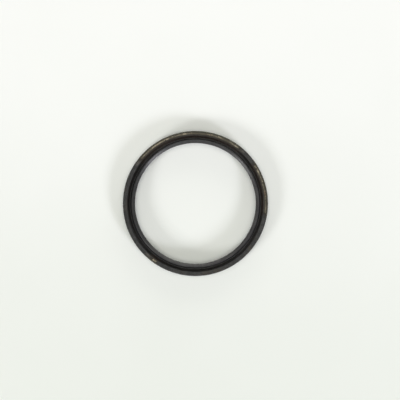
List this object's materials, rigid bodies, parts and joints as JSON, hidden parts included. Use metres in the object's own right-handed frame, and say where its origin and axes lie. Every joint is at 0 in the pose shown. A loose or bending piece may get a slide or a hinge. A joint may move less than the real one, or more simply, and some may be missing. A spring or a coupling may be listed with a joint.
{
  "type": "oil seal",
  "caption": "Thin springless rotary shaft oil seal: a rubber ring moulded over a pressed steel case, with a sealing lip that stands slightly above its rim.",
  "frame": {"origin": "centre of the flat back face", "axes": "+Z along the shaft's axis, from the back towards the lip; +X passes through the shorter bare stretch of the rim"},
  "size_m": [0.047, 0.047, 0.0047],
  "materials": {
    "rubber": "moulded nitrile rubber, satin on the lip and matt on the rim",
    "case_steel": "bonding-coated steel, rubbed bare along its edge"
  },
  "bodies": {
    "root": {"rubber_body": "rubber", "steel_case": "case_steel"}
  },
  "joints": []
}
